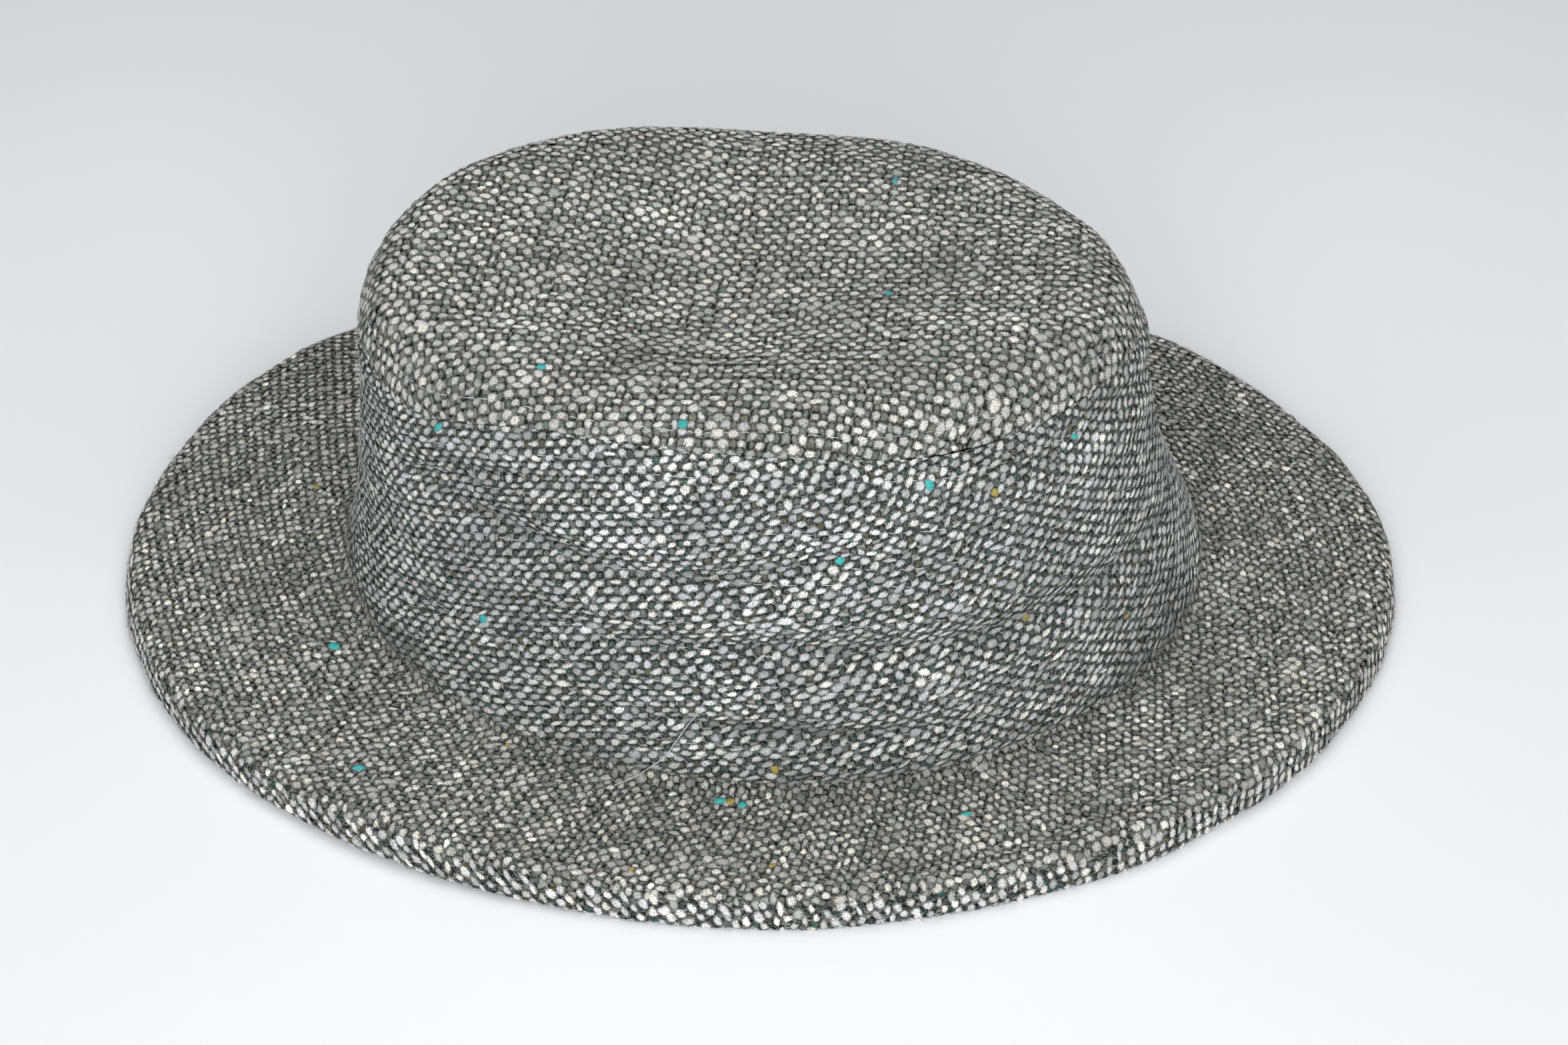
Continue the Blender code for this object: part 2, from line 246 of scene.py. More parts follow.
def dentSink(plan):
    # a round bell for each dent
    sink = np.zeros(plan.shape[:-1])
    half = np.array([hat["tip"]["length"], hat["tip"]["span"]]) / 2
    for along, across, radius, depth in dents:
        middle = hat["tip"]["middle"] + half * [along, across]
        away = np.linalg.norm(plan - middle, axis=-1) / (radius * half[0])
        sink = sink + hat["dentDepth"] * depth * np.exp(-(away ** 2))
    return sink


def tipForm(degrees, row):
    # shrinks from the seam oval to its middle, raised by the crest near the seam, dished in the middle
    inward, shoulder, level, crest = readProfile(tipProfile, row)
    rim = seamPlan(degrees)
    plan = rim + (hat["tip"]["middle"] - rim) * inward[..., None]
    seam, top = seamHeight(degrees), topHeight(degrees)
    height = seam + (top - seam) * shoulder + (hat["tipMiddleHeight"] - top) * level
    height = height + hat["crestHeight"] * aroundHat("crest", degrees) * crest
    height = height - dentSink(plan) * np.clip(inward / hat["dentClear"], 0, 1)
    return np.concatenate([plan, height[..., None]], -1)


# Charts: a panel's cloth as even steps of angle and of the run across it
cloth = {
    "angleSteps": 720,
    "runSteps": 240,
    "ripple": 0.00035,         # soft unevenness of the cloth
    "rippleWaveMm": (14, 60),  # its shortest and longest wave
    "rippleSeed": 5,
    "waveCount": 26,
    "patch": 0.13,             # how far soft patches of the cloth are lighter or darker
    "patchWaveMm": (9, 45),
    "patchSeed": 7,
    "creaseShade": 0.22,       # painted shade: how much darker the cloth is painted in a crease
    "creaseDarkest": 0.3,
    "seamShade": 0.28,         # painted shade: how much darker the cloth is painted beside the seam between brim and side, so wide
    "seamShadeMm": 3.5,
    "seamShadowSpots": ((212, 14, 0.25), (330, 12, 0.30)),     # more painted shadow beside the seam, in spots at the sides: angle, width, how much
}


def softWaves(points, waveMm, seed):
    # sum of sines of random direction and wavelength: the small lumps of a soft, handled cloth, about 1 high
    shortest, longest = waveMm
    count = cloth["waveCount"]
    luck = np.random.default_rng(seed)
    directions = luck.normal(size=(count, 3))
    directions /= np.linalg.norm(directions, axis=1, keepdims=True)
    waves = shortest * (longest / shortest) ** luck.random(count) * mm
    phases = points @ (directions * (2 * np.pi / waves)[:, None]).T + luck.random(count) * 2 * np.pi
    return np.sqrt(count) * (np.sin(phases) * waves / waves.sum()).sum(-1)


def surfaceNormals(grid, facing):
    # cross product of the steps around and across, the first axis being closed
    around = np.roll(grid, -1, 0) - np.roll(grid, 1, 0)
    across = np.gradient(grid, axis=1)
    normals = np.cross(around, across) * facing
    if np.ptp(grid[:, 0], axis=0).max() < 1e-6:
        # a ring that has shrunk to a point takes its direction from the next one
        normals[:, 0] = normals[:, 1].mean(axis=0)
    return normals / np.maximum(np.linalg.norm(normals, axis=-1, keepdims=True), 1e-12)


def clothChart(form, lastRow, fromMiddle):
    # rows respaced so that equal steps cover equal lengths of cloth, from the lower or inner edge on
    degrees = np.arange(cloth["angleSteps"]) * 360 / cloth["angleSteps"]
    rows = np.linspace(0, lastRow, 3 * cloth["runSteps"])
    rows = rows[::-1] if fromMiddle else rows
    coarse = form(*np.meshgrid(degrees, rows, indexing="ij"))
    steps = np.linalg.norm(np.diff(coarse, axis=1), axis=-1)
    run = np.concatenate([np.zeros((len(degrees), 1)), np.cumsum(steps, axis=1)], 1)
    length = run[:, -1]
    # one long rising scale, two units to an angle, so that a single interpolation respaces every row
    lane = 2 * np.arange(len(degrees))[:, None]
    shares = np.linspace(0, 1, cloth["runSteps"] + 1)
    rowAt = np.interp((shares + lane).ravel(), (run / length[:, None] + lane).ravel(),
                      np.broadcast_to(rows, run.shape).ravel()).reshape(len(degrees), -1)
    points = form(np.broadcast_to(degrees[:, None], rowAt.shape), rowAt)
    facing = -1 if fromMiddle else 1
    normals = surfaceNormals(points, facing)
    ripple = cloth["ripple"] * softWaves(points, cloth["rippleWaveMm"], cloth["rippleSeed"])
    points = points + normals * ripple[..., None]
    return {"points": points, "normals": surfaceNormals(points, facing), "length": length,
            "fromMiddle": fromMiddle}


def lengthAt(chart, degrees):
    # how far the cloth runs from edge to edge at an angle
    return np.interp(degrees % 360, np.arange(cloth["angleSteps"] + 1) * 360 / cloth["angleSteps"],
                     np.append(chart["length"], chart["length"][0]))


def onChart(chart, degrees, run, height):
    # point and normal at a run across the cloth; past an edge the cloth turns square inwards
    length = lengthAt(chart, degrees)
    share = np.clip(run / length, 0, 1) * cloth["runSteps"]
    over = np.maximum(run - length, 0) + np.maximum(-run, 0)
    turn = (degrees % 360) / 360 * cloth["angleSteps"]
    a = np.floor(turn).astype(int)
    r = np.minimum(np.floor(share).astype(int), cloth["runSteps"] - 1)
    u, v = (turn - a)[..., None], (share - r)[..., None]
    a, b = a % cloth["angleSteps"], (a + 1) % cloth["angleSteps"]
    read = lambda grid: ((grid[a, r] * (1 - u) + grid[b, r] * u) * (1 - v)
                         + (grid[a, r + 1] * (1 - u) + grid[b, r + 1] * u) * v)
    normals = read(chart["normals"])
    normals /= np.maximum(np.linalg.norm(normals, axis=-1, keepdims=True), 1e-12)
    return read(chart["points"]) + normals * (height - over)[..., None]


brimChart = clothChart(brimForm, len(brimProfile["across"]) - 1, True)
sideChart = clothChart(sideForm, len(sideProfile["up"]) - 1, False)
tipChart = clothChart(tipForm, len(tipProfile["inward"]) - 1, True)
print("charts", *(round(float(chart["length"].mean()) / mm, 1) for chart in (brimChart, sideChart, tipChart)))


# Flat patterns: where a point of the flat cloth, in metres, lies on a chart, and back
def arcLengths(chart, share):
    # length round the hat at a share of the run, from the back seam on, with the angle at each step
    ring = chart["points"][:, int(share * cloth["runSteps"])]
    steps = np.linalg.norm(np.roll(ring, -1, 0) - ring, axis=1)
    back = cloth["angleSteps"] // 4
    arcs = np.concatenate([[0], np.cumsum(np.roll(steps, -back))])
    return arcs, 90 + np.arange(cloth["angleSteps"] + 1) * 360 / cloth["angleSteps"]


pattern = {
    "sideLine": 0.5,           # share of a panel's run at which its length round the hat is taken
    "brimLine": 0.45,
    "brimSector": 0.8,         # share of a full turn that the brim is cut from
    "hemWideMm": 6.5,
    "tipSpare": 1.25,
    "frontDegrees": 270,
    "driftDegrees": 222,
    "driftMm": 10,
    "driftWideMm": 45,
}
sideArcs, sideDegrees = arcLengths(sideChart, pattern["sideLine"])
brimArcs, brimDegrees = arcLengths(brimChart, pattern["brimLine"])
brimInner = brimArcs[-1] / (2 * np.pi * pattern["brimSector"])
brimInner -= pattern["brimLine"] * brimChart["length"].mean()


def fromBack(degrees):
    # the same angle, counted on from the back seam at 90 degrees
    return (degrees - 90) % 360 + 90


def sideDrift(arc):
    # around driftDegrees the wall is handled askew and its yarns climb: drift times tanh of the arc over its
    # width
    middle = np.interp(pattern["driftDegrees"], sideDegrees, sideArcs)
    return pattern["driftMm"] * mm * np.tanh((arc - middle) / (pattern["driftWideMm"] * mm))


def flatToSide(flat):
    # the side is a straight band, its length round the hat, its width up the wall
    arc = flat[..., 0]
    return np.interp(arc, sideArcs, sideDegrees), flat[..., 1] + sideDrift(arc)


def sideToFlat(degrees, run):
    # the same, backwards
    arc = np.interp(fromBack(degrees), sideDegrees, sideArcs)
    return np.stack([arc, run - sideDrift(arc)], -1)


def brimTurn(flat):
    # angle on the flat ring, counted from the front
    return (np.degrees(np.arctan2(flat[..., 1], flat[..., 0])) - pattern["frontDegrees"] + 180) % 360 - 180


def flatToBrim(flat):
    # the brim is a ring with a gap, drawn together until the gap closes at the back
    arc = (brimTurn(flat) / 360 / pattern["brimSector"] + 0.5) * brimArcs[-1]
    return np.interp(arc, brimArcs, brimDegrees), np.linalg.norm(flat, axis=-1) - brimInner


def brimToFlat(degrees, run):
    # the same, backwards
    arc = np.interp(fromBack(degrees), brimDegrees, brimArcs)
    turn = np.radians(pattern["frontDegrees"] + (arc / brimArcs[-1] - 0.5) * 360 * pattern["brimSector"])
    return np.stack([np.cos(turn), np.sin(turn)], -1) * (run + brimInner)[..., None]


def flatToTip(flat):
    # every ray from the middle keeps its direction and its length over the cloth
    oval = hat["tip"]
    degrees = np.degrees(np.arctan2(flat[..., 1] / oval["span"], flat[..., 0] / oval["length"]))
    return degrees, np.linalg.norm(flat, axis=-1)


def tipToFlat(degrees, run):
    # the same, backwards
    ray = ovalAt(hat["tip"], degrees) - hat["tip"]["middle"]
    return ray / np.linalg.norm(ray, axis=-1, keepdims=True) * run[..., None]


panels = {
    "side": (sideChart, sideToFlat, flatToSide, "tweed_crown"),
    "tip": (tipChart, tipToFlat, flatToTip, "tweed_crown"),
    "brim": (brimChart, brimToFlat, flatToBrim, "tweed_brim"),
    "hem": (brimChart, brimToFlat, flatToBrim, "tweed_brim"),
}


# Mesh and material helpers
def newPiece(name, points, corners, starts, material, colours=None, uvs=None):
    # colours, red to alpha, are for each point, uvs for each corner
    mesh = bpy.data.meshes.new(name)
    mesh.vertices.add(len(points))
    mesh.vertices.foreach_set("co", points.astype(np.float32).ravel())
    mesh.loops.add(len(corners))
    mesh.loops.foreach_set("vertex_index", corners.astype(np.int32))
    mesh.polygons.add(len(starts))
    mesh.polygons.foreach_set("loop_start", starts.astype(np.int32))
    mesh.update(calc_edges=True)
    mesh.shade_smooth()
    if colours is not None:
        layer = mesh.color_attributes.new("yarnColour", "FLOAT_COLOR", "POINT")
        layer.data.foreach_set("color", colours.astype(np.float32).ravel())
    if uvs is not None:
        mesh.uv_layers.new(name="yarnUv").data.foreach_set("uv", uvs.astype(np.float32).ravel())
    mesh.materials.append(material)
    piece = bpy.data.objects.new(name, mesh)
    bpy.context.scene.collection.objects.link(piece)
    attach(piece, "root")
    return piece


def linear(hexColour):
    # sRGB hex to linear light
    channels = np.array([int(hexColour[k:k + 2], 16) for k in (1, 3, 5)]) / 255
    return np.where(channels > 0.04045, ((channels + 0.055) / 1.055) ** 2.4, channels / 12.92)


def newMaterial(name, roughness, shine):
    # the material, its node tree and its shader
    material = bpy.data.materials.new(name)
    material.use_nodes = True
    shader = material.node_tree.nodes["Principled BSDF"]
    shader.inputs["Roughness"].default_value = roughness
    shader.inputs["Specular IOR Level"].default_value = shine
    return material, material.node_tree, shader


def addNode(tree, kind, settings=None, **inputs):
    # a shader node with its settings, its inputs set to a value or linked to a socket; gives back its outputs
    node = tree.nodes.new("ShaderNode" + kind)
    for name, value in (settings or {}).items():
        setattr(node, name, value)
    for name, value in inputs.items():
        # i and a number stand for an input whose name isn't its own
        socket = node.inputs[int(name[1:]) if name[1:].isdigit() else name]
        if isinstance(value, bpy.types.NodeSocket):
            tree.links.new(value, socket)
        else:
            socket.default_value = value
    return node.outputs


# Wool tweed yarn
# Carded wool, spun thick and uneven: matt and downy, its twist shows as fine slanting lines, and loose fibres
# of the other colour curl over every float. A light float thins out raggedly towards its edge, so that light
# and dark run into each other.
yarnLook = {
    "twistDegrees": 40,
    "twistPitchMm": 0.22,
    "twistLengthMm": 1.0,
    "twistShade": (0.80, 1.17),
    "fluffMm": 0.30,
    "fluffShade": (0.90, 1.10),
    "ragged": 0.8,             # how far fluff and twist move the edge of a float
    # from 0 at a float's edge to 1 on its plateau: where a light float starts to show, and hides all behind
    # it, and where a float's own colour begins, and is full
    "clear": (-0.03, 0.82),
    "edge": (0.08, 1.10),
    "fibreCurlMm": 0.55,
    "fibreShare": 0.45,        # how much a loose fibre hides of the yarn
    "fibreCore": 3,            # its width over that of its solid middle
    "noiseSpread": (0.3, 0.7),  # most values of a noise lie between these
    "roughness": 0.95,
    "shine": 0.15,
    # the material's name, colour towards a float's edge, colour and width of the loose fibres, whether the
    # edge thins out
    "light": ("offWhiteWoolYarn", "#8f9190", "#5b605d", 0.03, True),
    "dark": ("greenBlackWoolYarn", "#474c4a", "#a5a7a4", 0.05, False),
}


def woolYarn(name, edgeColour, fibreColour, fibreWidth, thins):
    # the float's colour, fading to edgeColour, under winding fibres, times the shades of twist and fluff
    material, tree, shader = newMaterial(name, yarnLook["roughness"], yarnLook["shine"])
    ragged = yarnLook["ragged"]
    colour = addNode(tree, "Attribute", {"attribute_name": "yarnColour"})
    place = addNode(tree, "UVMap", {"uv_map": "yarnUv"})["UV"]
    around = addNode(tree, "TexCoord")["Object"]
    rotated = addNode(tree, "Mapping", Vector=place, Rotation=(0, 0, np.radians(-yarnLook["twistDegrees"])))
    drawn = addNode(tree, "Mapping", Vector=rotated["Vector"],
                    Scale=(1 / yarnLook["twistLengthMm"], 1 / yarnLook["twistPitchMm"], 1))
    twist = addNode(tree, "TexNoise", {"noise_dimensions": "2D"}, Vector=drawn["Vector"], Scale=1.0,
                    Detail=1.0, Roughness=0.6)["Fac"]
    fluff = addNode(tree, "TexNoise", Vector=around, Scale=1 / (yarnLook["fluffMm"] * mm), Detail=0.0)["Fac"]
    loose = addNode(tree, "Math", {"operation": "ADD"}, i0=fluff, i1=twist)["Value"]
    moved = addNode(tree, "Math", {"operation": "MULTIPLY_ADD"}, i0=loose, i1=ragged,
                    i2=colour["Alpha"])["Value"]
    own = addNode(tree, "MapRange", Value=moved, i1=yarnLook["edge"][0] + ragged,
                  i2=yarnLook["edge"][1] + ragged)["Result"]
    body = addNode(tree, "Mix", {"data_type": "RGBA"}, Factor=own, i6=(*linear(edgeColour), 1),
                   i7=colour["Color"])[2]
    # a fibre is where a winding noise passes through its middle value
    winding = addNode(tree, "TexNoise", Vector=around, Scale=1 / (yarnLook["fibreCurlMm"] * mm),
                      Detail=1.0)["Fac"]
    off = addNode(tree, "Math", {"operation": "SUBTRACT"}, i0=winding, i1=0.5)["Value"]
    away = addNode(tree, "Math", {"operation": "ABSOLUTE"}, i0=off)["Value"]
    fibre = addNode(tree, "MapRange", Value=away, i1=fibreWidth / yarnLook["fibreCore"], i2=fibreWidth,
                    i3=yarnLook["fibreShare"], i4=0.0)["Result"]
    mixed = addNode(tree, "Mix", {"data_type": "RGBA"}, Factor=fibre, i6=body,
                    i7=(*linear(fibreColour), 1))[2]
    low, high = yarnLook["noiseSpread"]
    shades = []
    for noise, (darkest, lightest) in ((twist, yarnLook["twistShade"]), (fluff, yarnLook["fluffShade"])):
        shades.append(addNode(tree, "MapRange", Value=noise, i1=low, i2=high, i3=darkest,
                              i4=lightest)["Result"])
    both = addNode(tree, "Math", {"operation": "MULTIPLY"}, i0=shades[0], i1=shades[1])["Value"]
    shaded = addNode(tree, "VectorMath", {"operation": "SCALE"}, i0=mixed, Scale=both)["Vector"]
    tree.links.new(shaded, shader.inputs["Base Color"])
    if thins:
        clear = addNode(tree, "MapRange", Value=moved, i1=yarnLook["clear"][0] + ragged,
                        i2=yarnLook["clear"][1] + ragged)["Result"]
        tree.links.new(clear, shader.inputs["Alpha"])
    return material


woolYarns = {kind: woolYarn(*yarnLook[kind]) for kind in ("light", "dark")}


# Weave
# Plain weave: where a light yarn crosses over a dark one it shows as a light float, and the other way round.
# Step is the distance between crossings along a yarn, turn the yarn's direction on the flat cloth, and slant
# how far the twist turns the light floats from it. long and wide stretch them. tint is how light and warm the
# cloth is, contrast how far its light and dark floats stand apart, streak how much a yarn's shade drifts,
# mottle how much a float's shade differs from the next one's, loose how freely floats lie.
weaves = {
    "side": {"lightStepMm": 1.85, "lightTurn": 11, "darkStepMm": 1.65, "darkTurn": 99, "slant": 8,
             "long": 1.02, "wide": 1.03, "tint": (1.09, 1.12, 1.11), "contrast": 0.95,
             "streak": 0.55, "loose": 1, "mottle": 0.14},
    "tip": {"lightStepMm": 1.82, "lightTurn": -6, "darkStepMm": 2.1, "darkTurn": 84, "slant": 6,
            "long": 0.90, "wide": 1.18, "tint": (1.365, 1.36, 1.315), "contrast": 0.65,
            "streak": 0.55, "loose": 1, "mottle": 0.10},
    "brim": {"lightStepMm": 1.5, "lightTurn": 77, "darkStepMm": 1.6, "darkTurn": 165, "slant": 14,
             "long": 0.90, "wide": 1.20, "tint": (1.13, 1.12, 1.05), "contrast": 0.67,
             "streak": 0.7, "loose": 2, "mottle": 0.25},
    "hem": {"lightStepMm": 1.7, "lightTurn": 77, "darkStepMm": 1.85, "darkTurn": 165, "slant": 34,
            "long": 1.05, "wide": 1.05, "tint": (1.20, 1.20, 1.165), "contrast": 1.10,
            "streak": 0.55, "loose": 1.5, "mottle": 0.18},
}
floats = {
    # length over the yarn's own step, its thin edge counted in, width over the other yarn's step, and the
    # heights over the cloth of the plateau and of the edge
    "light": {"long": 1.90, "wide": 1.15, "crestMm": 0.26, "footMm": 0.04, "sides": 8},
    "dark": {"long": 1.45, "wide": 1.20, "crestMm": 0.09, "footMm": -0.25, "sides": 5},
    "plateau": 0.40,           # share of a float that is its raised middle
    "square": 2.1,             # 2 is an oval float, more is squarer
    "uneven": 0.10,            # how far a float's outline strays from that
    "waver": 0.10,             # how far a yarn strays, in steps
    "jitter": 0.06,            # how far one float strays, in steps
    "knot": 6,                 # crossings between two changes of a yarn's thickness and shade
    "knotTable": (1024, 128),  # yarns, and knots along each, before they repeat
    "firstKnot": 400,
    "thickDrift": 0.10,        # how much a yarn's thickness drifts, and differs from float to float
    "thickLuck": 0.13,
    "thickCrestMm": 0.1,       # a thick float also stands higher
    "longLuck": 0.17,
    "crestLuck": 0.3,
    "turnLuck": 11,            # degrees
    "colourLuck": 0.9,
    "pastEdgeMm": 0.9,         # floats run this far into a seam
    "seeds": {"across": 1, "along": 2, "shade": 3, "thick": 5},
}
wool = {
    "light": ["#e4e1da", "#d2d1d0", "#c5c4c6", "#b7b7b9", "#9fa1a0"],
    "lightShares": [0.05, 0.27, 0.40, 0.20, 0.08],
    "dark": ["#222827", "#25433c", "#454029", "#2d3233", "#5c605f"],
    "darkShares": [0.32, 0.17, 0.15, 0.18, 0.18],
    "middle": "#8a8b88",       # where contrast brings both kinds together
}


def yarnWander(yarn, crossing, seed):
    # a value that drifts along each yarn: random at every knot, straight between
    knots = np.random.default_rng(seed).normal(size=floats["knotTable"])
    yarns, count = knots.shape
    at = (crossing + floats["firstKnot"]) / floats["knot"]
    k = np.floor(at).astype(int)
    rest = at - k
    return knots[yarn % yarns, k % count] * (1 - rest) + knots[yarn % yarns, (k + 1) % count] * rest


def floatMesh(name, centres, turn, long, wide, foot, crest, colours, sides, flatTo, chart, material):
    # every float is a closed pillow: an outline at its foot and a raised plateau, both superellipses
    angles = (np.arange(sides) + 0.5 * (sides % 4 == 0)) * 2 * np.pi / sides
    square = floats["square"]
    edge = (np.abs(np.cos(angles)) ** square + np.abs(np.sin(angles)) ** square) ** (-1 / square)
    outline = np.stack([edge * np.cos(angles), edge * np.sin(angles)], -1)
    local = np.concatenate([outline, outline * floats["plateau"]])
    up = np.concatenate([np.zeros(sides), np.ones(sides)])
    uneven = np.tile(1 + floats["uneven"] * dice.normal(size=(len(centres), sides)), (1, 2))
    x = local[:, 0] * long[:, None] / 2 * uneven
    y = local[:, 1] * wide[:, None] / 2 * uneven
    cos, sin = np.cos(turn)[:, None], np.sin(turn)[:, None]
    flat = centres[:, None] + np.stack([x * cos - y * sin, x * sin + y * cos], -1)
    height = foot + up * (crest[:, None] - foot)
    points = onChart(chart, *flatTo(flat), height)
    points[..., 2] = np.maximum(points[..., 2], 0)
    side = np.arange(sides)
    after = (side + 1) % sides
    ring = np.stack([side, after, after + sides, side + sides], -1).ravel()
    corners = np.concatenate([ring, side + sides, side[::-1]])
    starts = np.concatenate([side * 4, [4 * sides, 5 * sides]])
    count = len(centres)
    corners = (corners + 2 * sides * np.arange(count)[:, None]).ravel()
    starts = (starts + 6 * sides * np.arange(count)[:, None]).ravel()
    shift = dice.random((count, 2)) * 50
    uvs = np.stack([x / mm + shift[:, :1], y / mm + shift[:, 1:]], -1).reshape(-1, 2)
    # alpha is 0 at a float's edge and 1 on its plateau
    colours = np.concatenate([np.repeat(colours, 2 * sides, axis=0), np.tile(up, count)[:, None]], 1)
    return newPiece(name, points.reshape(-1, 3), corners, starts, material, colours, uvs[corners])


def pickColours(kind, drift, weave, tone):
    # a colour from the list for each float, lighter or darker with its yarn's drift, tinted for its panel
    palette = np.array([linear(name) for name in wool[kind]])
    edges = np.cumsum(wool[kind + "Shares"])[:-1]
    luck = floats["colourLuck"] * dice.normal(size=len(drift)) - weave["streak"] * drift
    chosen = palette[np.searchsorted(edges, 0.5 + 0.5 * np.tanh(luck))]
    middle = linear(wool["middle"])
    chosen = middle + (chosen - middle) * weave["contrast"]
    mottle = np.exp(weave["mottle"] * dice.normal(size=(len(drift), 1)))
    return chosen * weave["tint"] * mottle * tone[:, None]


def yarnSteps(weave):
    # directions of both yarns on the flat cloth, and the step between crossings along each
    turns = np.radians([weave["lightTurn"], weave["darkTurn"]])
    lengths = np.array([[weave["lightStepMm"] * mm], [weave["darkStepMm"] * mm]])
    return turns, np.stack([np.cos(turns), np.sin(turns)], -1) * lengths


def crossings(weave, corners):
    # number and place on the flat cloth of every crossing between two yarns, around the panel
    turns, steps = yarnSteps(weave)
    reach = np.array([[x, y] for x in corners[:2] for y in corners[2:]]) @ np.linalg.inv(steps)
    low, high = np.floor(reach.min(0)).astype(int) - 2, np.ceil(reach.max(0)).astype(int) + 3
    i, j = (grid.ravel() for grid in np.meshgrid(np.arange(low[0], high[0]), np.arange(low[1], high[1])))
    stray = floats["jitter"] * weave["loose"] * dice.normal(size=(2, len(i)))
    along = i + floats["waver"] * yarnWander(i, j, floats["seeds"]["along"]) + stray[0]
    across = j + floats["waver"] * yarnWander(j, i, floats["seeds"]["across"]) + stray[1]
    return i, j, along[:, None] * steps[0] + across[:, None] * steps[1], turns


def clothTone(name, chart, degrees, run):
    # how light the cloth is: soft patches, and painted shade in the creases and beside the brim's seam
    surface = onChart(chart, degrees, run, np.zeros(len(run)))
    tone = 1 + cloth["patch"] * softWaves(surface, cloth["patchWaveMm"], cloth["patchSeed"])
    if name == "side":
        # painted shade: the cloth is painted darker along the crease at the bottom of each fold
        creaseShadeMask = foldSink(degrees, run / lengthAt(chart, degrees))[1]
        tone = tone * np.maximum(1 - cloth["creaseShade"] * creaseShadeMask, cloth["creaseDarkest"])
    if name in ("side", "brim"):
        # painted shadow beside the brim's seam, all round and more in two spots at the sides
        shadowSpots = sum(more * np.exp(-(((degrees - at) / wide) ** 2)) for at, wide, more in cloth["seamShadowSpots"])
        beside = np.exp(-((run / (cloth["seamShadeMm"] * mm)) ** 2))
        tone = tone * (1 - (cloth["seamShade"] + shadowSpots) * beside)
    return tone


def weavePanel(name, corners, inside):
    # one float at every crossing inside the panel: even ones light, odd ones dark
    weave = weaves[name]
    chart, toFlat, flatTo, slot = panels[name]
    i, j, centres, turns = crossings(weave, corners)
    degrees, run = flatTo(centres)
    length = lengthAt(chart, degrees)
    margin = floats["pastEdgeMm"] * mm
    on = inside(centres, run, length) & (run > -margin) & (run < length + margin)
    # tone, with its painted shade in the creases and beside the seam, goes into the floats' colours
    tone = clothTone(name, chart, degrees, run)
    looser = 1 + weave["loose"] / 4
    made = []
    for kind, parity in (("light", 0), ("dark", 1)):
        shape = floats[kind]
        pick = on & ((i + j) % 2 == parity)
        count = int(pick.sum())
        luck = lambda: dice.normal(size=count)
        if kind == "light":
            yarn, crossing, slant = j[pick], i[pick], weave["slant"]
            step, other = weave["lightStepMm"] * weave["long"] * mm, weave["darkStepMm"] * weave["wide"] * mm
        else:
            yarn, crossing, slant = i[pick], j[pick], 0
            step, other = weave["darkStepMm"] * mm, weave["lightStepMm"] * mm
        thick = np.exp(floats["thickDrift"] * yarnWander(yarn, crossing, floats["seeds"]["thick"] + parity)
                       + floats["thickLuck"] * looser * luck())
        long = shape["long"] * step * (1 + floats["longLuck"] * luck())
        wide = shape["wide"] * other * thick
        crest = shape["crestMm"] * (1 + floats["crestLuck"] * luck()) + floats["thickCrestMm"] * (thick - 1)
        turn = turns[parity] + np.radians(slant + floats["turnLuck"] * luck())
        drift = yarnWander(yarn, crossing, floats["seeds"]["shade"] + parity)
        colours = pickColours(kind, drift, weave, tone[pick])
        made.append(floatMesh(f"{name}_{kind}_floats", centres[pick], turn, long, wide, shape["footMm"] * mm,
                              crest * mm, colours, shape["sides"], flatTo, chart, woolYarns[kind]))
        print(name, kind, count)
    return made


sideHigh = float(sideChart["length"].max())
sideSpare = pattern["driftMm"] * mm
sideBand = (0, sideArcs[-1], -sideSpare, sideHigh + sideSpare)
tipReach = pattern["tipSpare"] * hat["tip"]["length"] / 2
tipSquare = (-tipReach, tipReach, -tipReach, tipReach)
brimReach = brimInner + float(brimChart["length"].max())
brimSquare = (-brimReach, brimReach, -brimReach, brimReach)
hemWide = pattern["hemWideMm"] * mm
onBand = lambda flat, run, length: (flat[:, 0] > 0) & (flat[:, 0] < sideArcs[-1])
onTip = lambda flat, run, length: run >= 0
onSector = lambda flat: np.abs(brimTurn(flat)) < 180 * pattern["brimSector"]
onBrim = lambda flat, run, length: onSector(flat) & (run < length - hemWide)
onHem = lambda flat, run, length: onSector(flat) & (run >= length - hemWide)
woven = {
    "side": weavePanel("side", sideBand, onBand),
    "tip": weavePanel("tip", tipSquare, onTip),
    "brim": weavePanel("brim", brimSquare, onBrim),
    "hem": weavePanel("hem", brimSquare, onHem),
}
print("weave done")


# Cloth behind the yarns
# Its inside shows the same plain weave, printed from the crossings' own numbers.
backing = {
    "depthMm": -0.6,
    "wall": {"side": 0.002, "tip": 0.002, "brim": 0.0026},
    "around": 180,
    "rows": {"side": 56, "tip": 16, "brim": 20},
    "light": "#a9a8a2",
    "dark": "#2b3030",
    "fromDarkToLight": (-0.2, 0.3),
    "bumpMm": 0.3,
}


